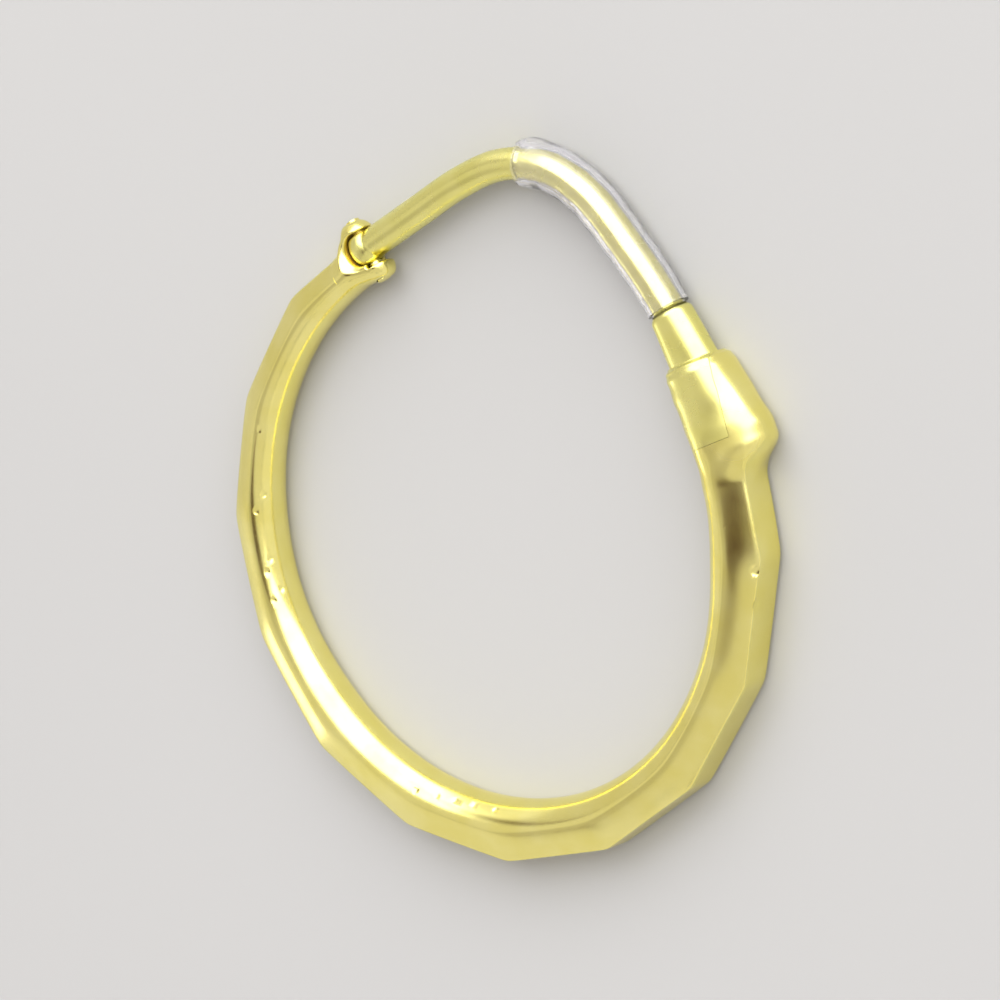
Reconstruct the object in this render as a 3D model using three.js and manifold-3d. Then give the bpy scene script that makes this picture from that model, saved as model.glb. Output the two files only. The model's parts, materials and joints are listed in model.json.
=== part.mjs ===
// Hoop earring with a hinged ear wire: a tapered, faceted gold tube bent to a circle, a riveted hinge fork
// at its thin end, a catch socket at its thick end, and an arched wire with a clear sleeve that closes the
// two. Millimetres. The hoop lies on its side: +Z is its front, +Y points from its middle to the wire's
// arch, and the origin is the middle of the underside. Angles are degrees round the hoop, counted from +X
// towards +Y.

import * as THREE from 'three';
import { mergeVertices } from 'three/addons/utils/BufferGeometryUtils.js';
import Module from 'manifold-3d';

const wasm = await Module();
wasm.setup();

// ---------------------------------------------------------------- driving dimensions

const HOOP_RADIUS = 9.13; // circle that the tube's middle follows
const UNDERSIDE = 0.72; // the lapped underside lies this far below the plane of the wire
const MOUTH = 410.2; // where the catch socket ends, one turn and 50 degrees on

// The tube: half-widths across (in the hoop's plane) and along the hoop's axis.
const TUBE = [
  { at: 124, across: 0.74, axial: 0.76 },
  { at: 149, across: 0.76, axial: 0.77 },
  { at: 172, across: 0.76, axial: 0.78 },
  { at: 205, across: 0.84, axial: 0.82 },
  { at: 239, across: 1.01, axial: 0.89 },
  { at: 284, across: 1.04, axial: 0.91 },
  { at: 327, across: 1.0, axial: 0.91 },
  { at: 352, across: 1.03, axial: 0.92 },
  { at: 375, across: 1.1, axial: 0.92 },
  { at: 411, across: 1.08, axial: 0.92 },
];

// The soldered ends: blend is 0 on the faceted tube and 1 on the end's own section, a superellipse of that
// power (2 is an ellipse, more is squarer), out is how far the section's middle stands outside the hoop's
// circle, and slant turns the section towards the wire, in degrees round the hoop to a millimetre outward.
const ENDS = [
  { at: 126, out: 0.17, across: 1.01, axial: 0.61, power: 2.5, blend: 1, slant: -1.3 },
  { at: 131.2, out: 0.17, across: 1.01, axial: 0.61, power: 2.5, blend: 1, slant: -1.3 },
  { at: 133.4, out: 0.07, across: 0.86, axial: 0.66, power: 2.4, blend: 0.9, slant: -0.7 },
  { at: 135.8, out: 0, across: 0.75, axial: 0.73, power: 2.2, blend: 0.3, slant: 0 },
  { at: 138, out: 0, across: 0.75, axial: 0.76, power: 2.2, blend: 0, slant: 0 },
  { at: 370, out: 0, across: 1.04, axial: 0.92, power: 2.1, blend: 0, slant: 0 },
  { at: 387.5, out: 0.13, across: 1.04, axial: 0.92, power: 2.1, blend: 0, slant: 0 },
  { at: 394, out: 0.23, across: 1.1, axial: 0.95, power: 2.2, blend: 0.9, slant: 0 },
  { at: 398, out: 0.28, across: 1.14, axial: 0.97, power: 2.2, blend: 1, slant: 0.5 },
  { at: 404, out: 0.38, across: 1.14, axial: 0.98, power: 2.2, blend: 1, slant: 0.9 },
  { at: 408, out: 0.45, across: 1.05, axial: 0.97, power: 2.2, blend: 1, slant: 1.2 },
  { at: 409.4, out: 0.47, across: 0.98, axial: 0.93, power: 2.2, blend: 1, slant: 1.35 },
  { at: 410.2, out: 0.48, across: 0.86, axial: 0.81, power: 2.2, blend: 1, slant: 1.4 },
];

// The diamond-cut facets: three flats to a station, along the outer half of the tube.
const FACET_PITCH = 22.5;
const FIRST_CORNER = 127; // a corner of the polygon that the facets make round the hoop
const LAST_CORNER = 419.5;
const RIDGE = 36; // section angle of the ridges between the outer flats and the front and back ones
const FACET_EDGE = 104; // section angle where the front flats meet the round inner side

// The rounded bump on the socket's outer side, and the nail nick in its front, where the head ends.
const BUMP = { at: 393.6, angle: -2, height: 0.54, before: 0.55, after: 1.15, spread: 40 };
const NICK = { at: 393.7, angle: 82, height: -0.09, before: 0.4, after: 0.4, spread: 24 };

const WALL = 0.3; // of the hollow tube, thinner where the outer flats are cut into it
const OUTER_WALL = 0.225;
const BORE = { from: 134, to: 398.5, flatten: 0.08 };

const PIN = { radius: 0.22, dome: 0.03, gap: 0.03 };
const WIRE_RADIUS = 0.475;
const HINGE_HEADING = 47.5; // square to the pin, a little outward of the wire's own direction
const LUG_RADIUS = 0.54; // of the lugs' round ends, about the pin
const EYE = { radius: 0.53, swell: 0.66, outer: 0.43, inner: 0.52, bore: 0.26 }; // a barrel, nearly a ball
const SLOT = { outer: 0.49, inner: 0.68, gap: 0.05, front: 0.52 }; // sides measured from the wire's middle
const DISH = { radius: 1, height: 1.35 }; // of the ball that hollows the fork's front round the eye

// The middle of the ear wire in the hoop's plane, from the pin to just inside the catch.
const WIRE_POINTS = [
  { x: -6.11, y: 7.14 },
  { x: -4.4, y: 8.77 },
  { x: -3.0, y: 10.08 },
  { x: -1.65, y: 11.0 },
  { x: -0.05, y: 11.4 },
  { x: 1.5, y: 11.07 },
  { x: 3.2, y: 9.98 },
  { x: 4.7, y: 8.8 },
  { x: 6.01, y: 7.42 },
  { x: 6.7, y: 6.63 },
];
// The neck swells from its shoulder to the catch, and ends some degrees round the hoop inside the mouth.
const NECK = { length: 1.75, shoulder: 0.25, start: 0.66, end: 0.82, axial: 0.6, inside: 0.4 };
const SLEEVE = { start: 6.75, radius: 0.71, bore: 0.54, gap: 0.06 };

// The catch: a channel open to the front, filled by the head on the wire's free end.
const CHANNEL = { from: 395.4, halfWidth: 0.87, endHalfWidth: 0.72, floor: -0.5 };
const HEAD = { sideGap: 0.04, endGap: 0.06, floorGap: 0.05 };

const DEGREE = Math.PI / 180;
const CLEAR = 3; // cutters run this far past what they cut

// ---------------------------------------------------------------- tables, solids and lofts

/** A table's value at an angle, eased from row to row. */
function sized(table, at, column) {
  if (at <= table[0].at) return table[0][column];
  for (let i = 1; i < table.length; i++) {
    if (at > table[i].at) continue;
    const share = THREE.MathUtils.smoothstep(at, table[i - 1].at, table[i].at);
    return THREE.MathUtils.lerp(table[i - 1][column], table[i][column], share);
  }
  return table.at(-1)[column];
}

/** Whole steps from one angle to another, both included. */
function steps(from, to, count) {
  return Array.from({ length: count + 1 }, (_, i) => from + ((to - from) * i) / count);
}

/** A point by its angle round the hoop, its distance outside the hoop's circle and its height. */
function hoopPoint(at, out, height) {
  const r = HOOP_RADIUS + out;
  return new THREE.Vector3(r * Math.cos(at * DEGREE), r * Math.sin(at * DEGREE), height);
}

function toSolid(geometry) {
  const bare = geometry.index ? geometry.clone() : mergeVertices(geometry, 1e-4);
  bare.deleteAttribute('normal');
  bare.deleteAttribute('uv');
  const merged = mergeVertices(bare, 1e-4);
  const vertProperties = new Float32Array(merged.attributes.position.array);
  const triVerts = new Uint32Array(merged.index.array);
  return new wasm.Manifold(new wasm.Mesh({ numProp: 3, vertProperties, triVerts }));
}

function toGeometry(solid) {
  const { vertProperties, triVerts } = solid.getMesh();
  const geometry = new THREE.BufferGeometry();
  geometry.setAttribute('position', new THREE.BufferAttribute(vertProperties, 3));
  geometry.setIndex(new THREE.BufferAttribute(triVerts, 1));
  geometry.computeVertexNormals();
  return geometry;
}

/** A closed skin over rings of points, each ring turning right-handed about the way to the next one. */
function loft(rings) {
  const sides = rings[0].length;
  const points = rings.flat();
  const index = [];
  for (let ring = 0; ring < rings.length - 1; ring++) {
    for (let side = 0; side < sides; side++) {
      const a = ring * sides + side;
      const b = ring * sides + ((side + 1) % sides);
      index.push(a, b, b + sides, a, b + sides, a + sides);
    }
  }
  const last = (rings.length - 1) * sides;
  for (const [ring, start, flip] of [[rings[0], 0, true], [rings.at(-1), last, false]]) {
    const middle = ring.reduce((sum, p) => sum.add(p), new THREE.Vector3()).divideScalar(sides);
    const centre = points.push(middle) - 1;
    for (let side = 0; side < sides; side++) {
      const a = start + side;
      const b = start + ((side + 1) % sides);
      index.push(...(flip ? [b, a, centre] : [a, b, centre]));
    }
  }
  const geometry = new THREE.BufferGeometry().setFromPoints(points);
  geometry.setIndex(index);
  return geometry;
}

/** A closed skin over rings made at angles round the hoop, which turn right-handed the way back. */
function hoopLoft(angles, ringAt) {
  return loft(angles.map(ringAt).reverse());
}

/** The angle between low and high where a rising function of it crosses zero. */
function crossing(rising, low, high) {
  for (let i = 0; i < 40; i++) {
    const middle = (low + high) / 2;
    if (rising(middle) < 0) low = middle;
    else high = middle;
  }
  return (low + high) / 2;
}

// ---------------------------------------------------------------- the faceted tube's section

/** Distance from a section's middle to its ellipse, at a section angle. */
function ellipseReach(across, axial, angle) {
  return 1 / Math.hypot(Math.cos(angle * DEGREE) / across, Math.sin(angle * DEGREE) / axial);
}

function tubePoint(at, angle) {
  const across = sized(TUBE, at, 'across');
  const axial = sized(TUBE, at, 'axial');
  return hoopPoint(at, across * Math.cos(angle * DEGREE), axial * Math.sin(angle * DEGREE));
}

/** The plane through three points, facing away from a point inside the tube. */
function flat(a, b, c, inside) {
  const plane = new THREE.Plane().setFromCoplanarPoints(a, b, c);
  return plane.distanceToPoint(inside) > 0 ? plane.negate() : plane;
}

/** One station of facets: the ridge from corner to corner, and the planes of its outer and front flats. */
function station(from) {
  const to = from + FACET_PITCH;
  const ridge = [tubePoint(from, RIDGE), tubePoint(to, RIDGE)];
  const edge = tubePoint((from + to) / 2, FACET_EDGE);
  const foot = ridge[0].clone().setZ(-ridge[0].z);
  const middle = hoopPoint((from + to) / 2, 0, 0);
  return {
    from,
    to,
    ridge,
    outer: flat(ridge[0], foot, ridge[1], middle),
    front: flat(ridge[0], ridge[1], edge, middle),
  };
}

const STATIONS = [];
for (let at = FIRST_CORNER; at < LAST_CORNER; at += FACET_PITCH) STATIONS.push(station(at));

const stationAt = (at) => STATIONS.find((s) => at <= s.to) ?? STATIONS.at(-1);

/** How far a plane is from the middle of the section, along a section angle. */
function planeReach(plane, at, angle) {
  const middle = hoopPoint(at, 0, 0);
  const way = hoopPoint(at, Math.cos(angle * DEGREE), Math.sin(angle * DEGREE)).sub(middle);
  const slope = plane.normal.dot(way);
  return slope > 0 ? -plane.distanceToPoint(middle) / slope : Infinity;
}

/** Distance from the tube's middle to its faceted surface, the same above and below the hoop's plane. */
function tubeReach(at, angle) {
  const mirrored = Math.abs(THREE.MathUtils.euclideanModulo(angle + 180, 360) - 180);
  const { outer, front } = stationAt(at);
  return Math.min(
    ellipseReach(sized(TUBE, at, 'across'), sized(TUBE, at, 'axial'), mirrored),
    planeReach(outer, at, mirrored),
    planeReach(front, at, mirrored),
  );
}

/** Section angle of the ridge, which runs straight from corner to corner. */
function ridgeAngle(at) {
  const { ridge } = stationAt(at);
  const across = new THREE.Vector3(-Math.sin(at * DEGREE), Math.cos(at * DEGREE), 0);
  const [start, end] = ridge.map((p) => p.dot(across));
  const point = ridge[0].clone().lerp(ridge[1], start / (start - end));
  return Math.atan2(point.z, Math.hypot(point.x, point.y) - HOOP_RADIUS) / DEGREE;
}

/** Section angle where the front flat runs out into the round inner side. */
function facetEdgeAngle(at) {
  const { front } = stationAt(at);
  const [across, axial] = [sized(TUBE, at, 'across'), sized(TUBE, at, 'axial')];
  return crossing((a) => planeReach(front, at, a) - ellipseReach(across, axial, a), 75, 150);
}

// ---------------------------------------------------------------- the whole hoop's outer form

/** Distance from the middle to the surface of the fork, rounded off past the pin, or of the catch socket. */
function endReach(at, angle) {
  const power = sized(ENDS, at, 'power');
  const beyond = Math.min(Math.max((pinAngle - at) * DEGREE * HOOP_RADIUS / LUG_RADIUS, 0), 0.995);
  const across = sized(ENDS, at, 'across') * (1 - beyond ** 4) ** 0.25;
  const axial = sized(ENDS, at, 'axial') * (1 - beyond ** 2) ** 0.5;
  const x = Math.abs(Math.cos(angle * DEGREE)) / across;
  const z = Math.abs(Math.sin(angle * DEGREE)) / axial;
  return (x ** power + z ** power) ** (-1 / power);
}

/** How far a rounded swelling, or with a negative height a hollow, lifts the surface. */
function rise(swelling, at, angle) {
  const reachAlong = at < swelling.at ? swelling.before : swelling.after;
  const along = ((at - swelling.at) * DEGREE * HOOP_RADIUS) / reachAlong;
  const round = (THREE.MathUtils.euclideanModulo(angle - swelling.angle + 180, 360) - 180) / swelling.spread;
  return swelling.height * Math.exp(-(along ** 2) - round ** 2);
}

function reach(at, angle) {
  const blend = sized(ENDS, at, 'blend');
  const tube = blend < 1 ? tubeReach(at, angle) : 0;
  const end = blend > 0 ? endReach(at, angle) : 0;
  return THREE.MathUtils.lerp(tube, end, blend) + rise(BUMP, at, angle) + rise(NICK, at, angle);
}

/** A section of the hoop: flats and round stretches, each with its own number of points. */
function hoopRing(at) {
  const ridge = ridgeAngle(at);
  const edge = facetEdgeAngle(at);
  const below = (angle) => -reach(at, angle) * Math.sin(angle * DEGREE) - UNDERSIDE;
  const lies = below(270) > 0;
  const inner = lies ? crossing(below, 195, 265) : 256;
  const outer = lies ? crossing((a) => -below(a), 275, 345) : 284;
  const stretches = [
    [-ridge, ridge, 6],
    [ridge, edge, 4],
    [edge, inner, 10],
    [inner, outer, 2],
    [outer, 360 - ridge, 4],
  ];
  const out = sized(ENDS, at, 'out');
  const slant = sized(ENDS, at, 'slant');
  return stretches.flatMap(([from, to, count]) => steps(from, to, count).slice(0, -1)).map((angle) => {
    const r = reach(at, angle);
    const height = Math.max(r * Math.sin(angle * DEGREE), -UNDERSIDE);
    const outward = r * Math.cos(angle * DEGREE);
    return hoopPoint(at - slant * outward, out + outward, height);
  });
}

/** A bent bar of rectangular section, cut along the hoop. */
function bentBar(from, to, count, sizeAt) {
  return hoopLoft(steps(from, to, count), (at) => {
    const { middle, halfWidth, low, high } = sizeAt(at);
    const [inside, outside] = [middle - halfWidth, middle + halfWidth];
    const corners = [[outside, low], [outside, high], [inside, high], [inside, low]];
    return corners.map(([out, height]) => hoopPoint(at, out, height));
  });
}

/** The channel in the catch, or with a gap taken off it the head that closes into it. */
function channelBar(sideGap, endGap, floorGap, end) {
  return bentBar(CHANNEL.from + endGap / (DEGREE * HOOP_RADIUS), end, 6, (at) => ({
    middle: sized(ENDS, at, 'out'),
    halfWidth:
      THREE.MathUtils.mapLinear(at, CHANNEL.from, MOUTH, CHANNEL.endHalfWidth, CHANNEL.halfWidth) - sideGap,
    low: CHANNEL.floor + floorGap,
    high: CLEAR,
  }));
}

/** The hollow of the tube, from the fork's slot to the catch's channel. */
function boreGeometry() {
  return hoopLoft(steps(BORE.from, BORE.to, 40), (at) => {
    const across = sized(TUBE, at, 'across');
    const facetDepth = HOOP_RADIUS * (1 - Math.cos((FACET_PITCH / 2) * DEGREE));
    const flatAcross = Math.cos(RIDGE * DEGREE) * across - facetDepth;
    const out = sized(ENDS, at, 'out');
    const [outside, inside] = [out + flatAcross - OUTER_WALL, out + WALL - across];
    const axial = sized(TUBE, at, 'axial') - WALL - BORE.flatten;
    return steps(0, 360, 12).slice(1).map((angle) => hoopPoint(
      at,
      (outside + inside) / 2 + ((outside - inside) / 2) * Math.cos(angle * DEGREE),
      axial * Math.sin(angle * DEGREE),
    ));
  });
}

// ---------------------------------------------------------------- the hinge

const pinCentre = new THREE.Vector3(WIRE_POINTS[0].x, WIRE_POINTS[0].y, 0);
const pinAngle = Math.atan2(pinCentre.y, pinCentre.x) / DEGREE;
const pinAxis = new THREE.Vector3(-Math.sin(HINGE_HEADING * DEGREE), Math.cos(HINGE_HEADING * DEGREE), 0);
// Turns +Y, a lathe's axis, to the pin's axis, with +X along the wire.
const hingeFrame = new THREE.Matrix4()
  .makeRotationZ(HINGE_HEADING * DEGREE)
  .setPosition(pinCentre);

/** A turned solid on the pin's axis; the profile's points are radius and distance outward. */
function turned(profile, segments) {
  const points = profile.map(([radius, out]) => new THREE.Vector2(radius, out));
  return new THREE.LatheGeometry(points, segments).applyMatrix4(hingeFrame);
}

/** The barrel of the wire's eye as a lathe profile, or with a gap the pocket that it turns in. */
function barrel(inner, outer, gap) {
  const side = steps(-inner, outer, 7).map((out) => {
    const swelling = Math.min(Math.abs(out), EYE.inner) / EYE.swell;
    return [EYE.radius * Math.sqrt(1 - swelling ** 2) + gap, out];
  });
  return [[0, -inner], ...side, [0, outer]];
}

/** The fork's slot: a pocket round the eye, under a dish, open towards the tip and where the wire stands. */
function slotSolid() {
  const width = SLOT.outer + SLOT.inner;
  const open = new THREE.BoxGeometry(CLEAR, width, 2 * CLEAR)
    .translate(CLEAR / 2, (SLOT.outer - SLOT.inner) / 2, 0)
    .applyMatrix4(hingeFrame);
  const standing = new THREE.CylinderGeometry(SLOT.front, SLOT.front, CLEAR, 28)
    .rotateX(Math.PI / 2)
    .translate(0, 0, CLEAR / 2)
    .applyMatrix4(hingeFrame);
  const dish = new THREE.SphereGeometry(DISH.radius, 36, 24)
    .translate(0, 0, DISH.height)
    .applyMatrix4(hingeFrame);
  const pocket = turned(barrel(SLOT.inner, SLOT.outer, SLOT.gap), 32);
  return toSolid(pocket).add(toSolid(open)).add(toSolid(standing)).add(toSolid(dish));
}

/** Where the lugs' outside faces stand on the pin's axis, measured from the wire's middle. */
const lugFace = (side) => {
  const out = sized(ENDS, pinAngle, 'out') - (pinCentre.length() - HOOP_RADIUS);
  return side * sized(ENDS, pinAngle, 'across') + out;
};

function pinGeometry() {
  const end = (side) => [[1, 0], [0.7, 0.7], [0, 1]]
    .map(([radius, rise]) => [PIN.radius * radius, lugFace(side) + side * PIN.dome * rise]);
  return turned([...end(-1).reverse(), ...end(1)], 20);
}

// ---------------------------------------------------------------- the ear wire and its sleeve

const wireCurve = new THREE.CatmullRomCurve3(
  WIRE_POINTS.map(({ x, y }) => new THREE.Vector3(x, y, 0)), false, 'centripetal');
const wireLength = wireCurve.getLength();

/** A ring round the wire, at a distance along it, with its half-widths in the hoop's plane and across it. */
function wireRing(along, inPlane, axial, sides) {
  const middle = wireCurve.getPointAt(along / wireLength);
  const way = wireCurve.getTangentAt(along / wireLength);
  const side = new THREE.Vector3(-way.y, way.x, 0);
  return steps(0, 360, sides).slice(1).map((angle) => middle.clone()
    .addScaledVector(side, inPlane * Math.cos(angle * DEGREE))
    .setZ(axial * Math.sin(angle * DEGREE)));
}

/** Distance along the wire where it comes out of the catch. */
const mouthAlong = crossing((along) => {
  const p = wireCurve.getPointAt(along / wireLength);
  return MOUTH - NECK.inside - 360 - Math.atan2(p.y, p.x) / DEGREE;
}, wireLength - 3, wireLength);
const neckStart = mouthAlong - NECK.length;

function wireGeometry() {
  const shank = steps(0, neckStart, 26).map((along) => wireRing(along, WIRE_RADIUS, WIRE_RADIUS, 16));
  const neck = steps(neckStart + NECK.shoulder, mouthAlong, 5).map((along) => {
    const inPlane = THREE.MathUtils.mapLinear(along, neckStart, mouthAlong, NECK.start, NECK.end);
    return wireRing(along, inPlane, NECK.axial, 16);
  });
  const shoulder = wireRing(neckStart + NECK.shoulder / 3, NECK.start * 0.93, NECK.axial * 0.93, 16);
  return loft([...shank, shoulder, ...neck]);
}

function sleeveGeometry() {
  const rings = steps(SLEEVE.start, neckStart - SLEEVE.gap, 20);
  const skin = toSolid(loft(rings.map((along) => wireRing(along, SLEEVE.radius, SLEEVE.radius, 20))));
  const bore = steps(SLEEVE.start - 0.2, neckStart - SLEEVE.gap + 0.2, 22);
  return skin.subtract(toSolid(loft(bore.map((along) => wireRing(along, SLEEVE.bore, SLEEVE.bore, 16)))));
}

// ---------------------------------------------------------------- assembly

const gold = (name) => new THREE.MeshStandardMaterial({
  name, color: 0xe6d683, roughness: 0.2, metalness: 1,
});
const clear = new THREE.MeshStandardMaterial({
  name: 'clear_plastic', color: 0xe8e4f2, roughness: 0.12, metalness: 0, transparent: true, opacity: 0.35,
});

function piece(name, solid, material) {
  const mesh = new THREE.Mesh(toGeometry(solid), material);
  mesh.name = name;
  return mesh;
}

const lugReach = LUG_RADIUS / (DEGREE * HOOP_RADIUS);
const stationSteps = STATIONS.flatMap(({ from }) => steps(from, from + FACET_PITCH, 4).slice(0, -1));
const hoopAngles = [...new Set([
  ...steps(0, 90, 7).map((angle) => pinAngle - lugReach * Math.cos(angle * DEGREE)),
  ...steps(pinAngle, 140, 9),
  ...stationSteps.filter((at) => at > 141 && at < 384),
  ...steps(385, 407, 14),
  ...steps(408, MOUTH, 4),
])].sort((a, b) => a - b);
const form = toSolid(hoopLoft(hoopAngles, hoopRing));

const pinHole = toSolid(turned([[0, -CLEAR], [PIN.radius + PIN.gap, -CLEAR], [PIN.radius + PIN.gap, CLEAR],
  [0, CLEAR]], 20));
const eyeHole = toSolid(turned([[0, -1], [EYE.bore, -1], [EYE.bore, 1], [0, 1]], 20));

const hoop = form
  .subtract(toSolid(boreGeometry()))
  .subtract(slotSolid())
  .subtract(toSolid(channelBar(0, 0, 0, MOUTH + CLEAR)))
  .subtract(pinHole);
const head = form.intersect(toSolid(channelBar(HEAD.sideGap, HEAD.endGap, HEAD.floorGap, MOUTH + CLEAR)));
const eye = toSolid(turned(barrel(EYE.inner, EYE.outer, 0), 28));
const wire = toSolid(wireGeometry()).add(eye).add(head).subtract(eyeHole);

const earring = new THREE.Group();
earring.add(
  piece('hoop', hoop, gold('hoop_gold')),
  piece('hinge_pin', toSolid(pinGeometry()), gold('pin_gold')),
  piece('ear_wire', wire, gold('wire_gold')),
  piece('clear_sleeve', sleeveGeometry(), clear),
);
const box = new THREE.Box3().setFromObject(earring, true);
const middle = box.getCenter(new THREE.Vector3());
earring.position.set(-middle.x, -middle.y, -box.min.z);

export default earring;
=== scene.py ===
"""Looks of the hinged hoop earring: fine polished metal, a clear sleeve, and the studio round it.

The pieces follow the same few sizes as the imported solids, only finer, and each one replaces its solid.
Lengths are millimetres in the hoop's own frame until finish_mesh() brings a piece to its place in metres.
Angles are degrees: "at" is an angle round the hoop, and a section angle goes round the tube, from its
outer side over its front.
"""

import json
import math

import bmesh
import bpy
import numpy as np
from mathutils import Matrix, Vector


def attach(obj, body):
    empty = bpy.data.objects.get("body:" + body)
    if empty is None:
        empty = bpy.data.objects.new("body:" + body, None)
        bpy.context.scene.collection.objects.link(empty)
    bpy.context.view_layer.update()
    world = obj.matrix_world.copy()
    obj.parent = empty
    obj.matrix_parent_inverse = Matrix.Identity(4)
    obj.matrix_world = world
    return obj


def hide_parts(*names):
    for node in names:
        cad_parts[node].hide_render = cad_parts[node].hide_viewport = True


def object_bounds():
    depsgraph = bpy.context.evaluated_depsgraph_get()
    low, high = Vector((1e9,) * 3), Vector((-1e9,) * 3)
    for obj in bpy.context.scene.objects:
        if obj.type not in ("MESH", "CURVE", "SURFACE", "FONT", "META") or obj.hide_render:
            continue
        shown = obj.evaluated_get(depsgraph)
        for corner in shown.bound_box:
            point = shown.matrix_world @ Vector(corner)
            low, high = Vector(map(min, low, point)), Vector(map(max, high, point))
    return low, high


# ------------------------------------------------------------------ driving sizes

HOOP_RADIUS = 9.13  # of the circle that the tube follows
UNDERSIDE = 0.72  # how far the level underside is below that circle
MOUTH = 410.2  # where the catch socket ends
FACET_PITCH = 22.5  # between the corners of the polygon that the facets make round the hoop
FIRST_CORNER = 127
LAST_CORNER = 419.5
RIDGE = 36  # section angle of the ridges between the outer flats and the front and back ones
FACET_EDGE = 104  # section angle where the front flats meet the round inner side
RIDGE_ROUNDING = 0.03  # how softly the facets' ridges are polished
CROWN = {"along": 0.012, "across": 0.022}  # how far the front flats are from truly flat
LUG_RADIUS = 0.54  # of the fork's round ends, about the pin
PIN_RADIUS = 0.22
PIN_CLEARANCE = 0.03
PIN_DOME = 0.03
DOME = [(1, 0), (0.85, 0.5), (0.55, 0.85), (0, 1)]  # shares of the pin's radius and of its dome's height
WIRE_RADIUS = 0.475
HINGE_HEADING = 47.5  # square to the pin
EYE = {"radius": 0.53, "swell": 0.66, "outer": 0.43, "inner": 0.52, "bore": 0.26}  # the wire's, a barrel
SLOT = {"outer": 0.49, "inner": 0.68, "gap": 0.03, "front": 0.505}  # the fork's pocket round the eye
DISH = {"radius": 1, "height": 1.35}  # of the ball that hollows the fork's front round the eye
NECK = {"length": 1.75, "shoulder": 0.25, "start": 0.66, "end": 0.82, "axial": 0.6, "inside": 0.4}
SLEEVE = {"start": 6.75, "radius": 0.71, "bore": 0.53, "gap": 0.01}
CHANNEL = {"from": 395.4, "half_width": 0.87, "end_half_width": 0.72, "floor": -0.5}
HEAD = {"side_gap": 0.01, "end_gap": 0.01, "floor_gap": 0.05}
FORK = {"tip": 112, "root": 137.6}  # the stretch of the hoop whose edges are softened
EYE_ROOT = 0.95  # how far along the wire its eye's solder reaches
EYE_ROUNDING = 0.45  # over which the wire's end rounds off inside its eye
FORK_SOFTENING = {"voxel": 0.024, "passes": 60}
EYE_SOFTENING = {"voxel": 0.03, "passes": 14}
SOFTENED_MARGIN = 0.3  # a softened part is made this much too long, since its cut ends get round too
SOFTENED_OVERLAP = 0.015  # of the softened part and the rest of the piece
BUMP = {"at": 393.6, "angle": -2, "height": 0.54, "before": 0.55, "after": 1.15, "spread": 40}
NICK = {"at": 393.7, "angle": 82, "height": -0.09, "before": 0.4, "after": 0.4, "spread": 24}
WALL = 0.3  # of the hollow tube, thinner where the outer flats are cut into it
OUTER_WALL = 0.225
BORE = {"from": 134, "to": 398.5, "flatten": 0.08, "rings": 100, "sides": 24}
CLEAR = 3  # cutters run this far past what they cut

# Where the rings of the hoop's form change their spacing, and how many there are. Between the fork and the
# socket each station of facets has its own, crowded towards the corners.
FORM_STRETCHES = {"fork_end": 138, "socket_start": 384, "collar": 408}
FORM_STEPS = {"lug_tips": 16, "fork": 30, "station": 26, "socket": 72, "mouth": 16}
LUG_TIP = 0.995  # the share of the lugs' rounding that is drawn, just short of its very tip

# How many points a ring has on each side of the tube.
RING_STEPS = {"outer": 20, "front": 18, "inner": 26, "under": 6, "back": 14}
# The section angles between which the edges of those sides are found. Where the tube doesn't reach down to
# the level underside, the points change sides at the uncut angles.
FACET_EDGE_BOUNDS = (75, 150)
UNDER_INNER = {"bounds": (195, 265), "uncut": 256}
UNDER_OUTER = {"bounds": (275, 345), "uncut": 284}


def table(columns, rows):
    """A table with named columns, each an array."""
    return dict(zip(columns.split(), np.array(rows, float).T))


TUBE = table("at across axial", [
    (124, 0.74, 0.76),
    (149, 0.76, 0.77),
    (172, 0.76, 0.78),
    (205, 0.84, 0.82),
    (239, 1.01, 0.89),
    (284, 1.04, 0.91),
    (327, 1.0, 0.91),
    (352, 1.03, 0.92),
    (375, 1.1, 0.92),
    (411, 1.08, 0.92),
])

ENDS = table("at out across axial power blend slant", [
    (126, 0.17, 1.01, 0.61, 2.5, 1, -1.3),
    (131.2, 0.17, 1.01, 0.61, 2.5, 1, -1.3),
    (133.4, 0.07, 0.86, 0.66, 2.4, 0.9, -0.7),
    (135.8, 0, 0.75, 0.73, 2.2, 0.3, 0),
    (138, 0, 0.75, 0.76, 2.2, 0, 0),
    (370, 0, 1.04, 0.92, 2.1, 0, 0),
    (387.5, 0.13, 1.04, 0.92, 2.1, 0, 0),
    (394, 0.23, 1.1, 0.95, 2.2, 0.9, 0),
    (398, 0.28, 1.14, 0.97, 2.2, 1, 0.5),
    (404, 0.38, 1.14, 0.98, 2.2, 1, 0.9),
    (408, 0.45, 1.05, 0.97, 2.2, 1, 1.2),
    (409.4, 0.47, 0.98, 0.93, 2.2, 1, 1.35),
    (410.2, 0.48, 0.86, 0.81, 2.2, 1, 1.4),
])

WIRE_POINTS = [
    (-6.11, 7.14), (-4.4, 8.77), (-3.0, 10.08), (-1.65, 11.0), (-0.05, 11.4),
    (1.5, 11.07), (3.2, 9.98), (4.7, 8.8), (6.01, 7.42), (6.7, 6.63),
]

MM = 0.001  # metres
FAR = 99.0  # further than any surface
TINY = 1e-6  # the least slope at which a flat is still met
AXIS_RADIUS = 1e-4  # of a turned solid's rings on its axis, which keeps them open

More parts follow.
